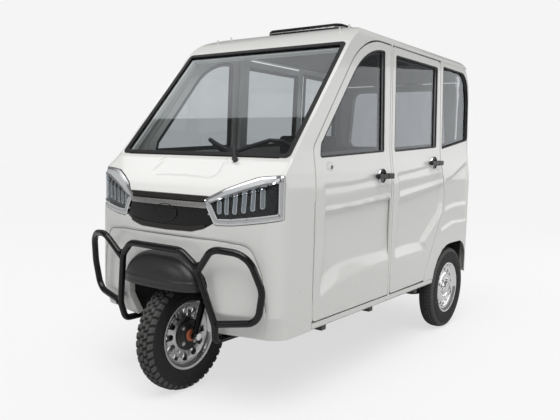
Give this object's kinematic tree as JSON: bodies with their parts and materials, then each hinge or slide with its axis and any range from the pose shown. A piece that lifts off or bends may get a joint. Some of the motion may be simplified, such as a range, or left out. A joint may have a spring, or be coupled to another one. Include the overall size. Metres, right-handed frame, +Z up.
{
  "type": "auto rickshaw",
  "caption": "Closed-cabin electric passenger three-wheeler with a steered front wheel, side doors, tailgate and roof hatch.",
  "frame": {"origin": "on the ground under the middle of the vehicle's length and width", "axes": "+Z up, -Y towards the front, +X towards the vehicle's left side"},
  "size_m": [1.2394, 2.555, 1.907],
  "materials": {
    "body_paint": "gloss off-white",
    "frame_paint": "satin black",
    "floor_paint": "satin dark grey",
    "pane": "tinted",
    "seal_rubber": "matte black",
    "lamp_cover": "clear cover over bright reflectors",
    "grille_plastic": "gloss black",
    "bright_trim": "polished",
    "tail_lamp_lens": "red lens",
    "guard_tube": "gloss black",
    "dark_plastic": "dark grey",
    "liner_plastic": "grey",
    "dash_plastic": "grey",
    "tyre_rubber": "black",
    "rim_silver": "silver",
    "rim_chrome": "bright",
    "spring_steel": "dark",
    "seat_base_paint": "satin grey",
    "driver_leather": "black",
    "bench_fabric": "grey patterned",
    "battery_plastic": "black",
    "handle_plastic": "black"
  },
  "bodies": {
    "body": {"chassis_frame": "frame_paint", "floor_pan": "floor_paint", "sills": "body_paint", "front_cowl": "body_paint", "a_pillars": "body_paint", "b_pillars": "body_paint", "quarter_panel_left": "body_paint", "quarter_panel_right": "body_paint", "roof_panel": "body_paint", "rear_panel": "body_paint", "fixed_glass": "pane", "windshield_seal": "seal_rubber", "headlamps": "lamp_cover", "grille_panel": "grille_plastic", "grille_bars": "bright_trim", "bumper_guard": "guard_tube", "front_mudguard": "dark_plastic", "wheel_liners": "liner_plastic", "dashboard": "dash_plastic", "seat_frames": "seat_base_paint", "driver_seat_pads": "driver_leather", "bench_pads": "bench_fabric", "rear_axle": "frame_paint", "leaf_springs": "spring_steel", "battery_box": "battery_plastic", "roof_hatch_frame": "seal_rubber", "wiper": "dark_plastic", "tail_lamps": "tail_lamp_lens", "hinges": "body_paint"},
    "steering": {"fork": "frame_paint", "handlebar": "frame_paint"},
    "front_wheel": {"front_tyre": "tyre_rubber", "front_rim": "rim_silver"},
    "rear_wheel_left": {"rear_tyre_left": "tyre_rubber", "rear_rim_left": "rim_chrome"},
    "rear_wheel_right": {"rear_tyre_right": "tyre_rubber", "rear_rim_right": "rim_chrome"},
    "roof_hatch_lid": {"hatch_lid": "dark_plastic"},
    "tail_door": {"tailgate": "body_paint", "tailgate_glass": "pane"},
    "front_left_door": {"door_front_left": "body_paint", "door_front_left_glass": "pane", "door_front_left_handle": "handle_plastic"},
    "rear_left_door": {"door_rear_left": "body_paint", "door_rear_left_glass": "pane", "door_rear_left_handle": "handle_plastic"},
    "front_right_door": {"door_front_right": "body_paint", "door_front_right_glass": "pane", "door_front_right_handle": "handle_plastic"},
    "rear_right_door": {"door_rear_right": "body_paint", "door_rear_right_glass": "pane", "door_rear_right_handle": "handle_plastic"}
  },
  "joints": [
    {"name": "steering_turn", "type": "hinge", "parent": "body", "child": "steering", "pos_m": [0, -0.97431, 0.26474], "axis": [0, 0.342, 0.9397], "range_deg": [-38, 38]},
    {"name": "front_wheel_spin", "type": "hinge", "parent": "steering", "child": "front_wheel", "pos_m": [0, -1.0025, 0.275], "axis": [1, 0, 0], "continuous": true},
    {"name": "rear_wheel_left_spin", "type": "hinge", "parent": "body", "child": "rear_wheel_left", "pos_m": [0.537, 0.9475, 0.275], "axis": [1, 0, 0], "continuous": true},
    {"name": "rear_wheel_right_spin", "type": "hinge", "parent": "body", "child": "rear_wheel_right", "pos_m": [-0.537, 0.9475, 0.275], "axis": [1, 0, 0], "continuous": true},
    {"name": "roof_hatch_open", "type": "hinge", "parent": "body", "child": "roof_hatch_lid", "pos_m": [0, 0.2179, 1.8686], "axis": [-1, 0, 0], "range_deg": [0, 50]},
    {"name": "tail_door_open", "type": "hinge", "parent": "body", "child": "tail_door", "pos_m": [0, 1.25269, 1.68798], "axis": [1, 0, 0], "range_deg": [0, 85]},
    {"name": "front_left_door_open", "type": "hinge", "parent": "body", "child": "front_left_door", "pos_m": [0.59, -0.7535, 0.7], "axis": [0, 0, -1], "range_deg": [0, 65]},
    {"name": "rear_left_door_open", "type": "hinge", "parent": "body", "child": "rear_left_door", "pos_m": [0.59, 0.0445, 0.7], "axis": [0, 0, -1], "range_deg": [0, 65]},
    {"name": "front_right_door_open", "type": "hinge", "parent": "body", "child": "front_right_door", "pos_m": [-0.59, -0.7535, 0.7], "axis": [0, 0, 1], "range_deg": [0, 65]},
    {"name": "rear_right_door_open", "type": "hinge", "parent": "body", "child": "rear_right_door", "pos_m": [-0.59, 0.0445, 0.7], "axis": [0, 0, 1], "range_deg": [0, 65]}
  ]
}
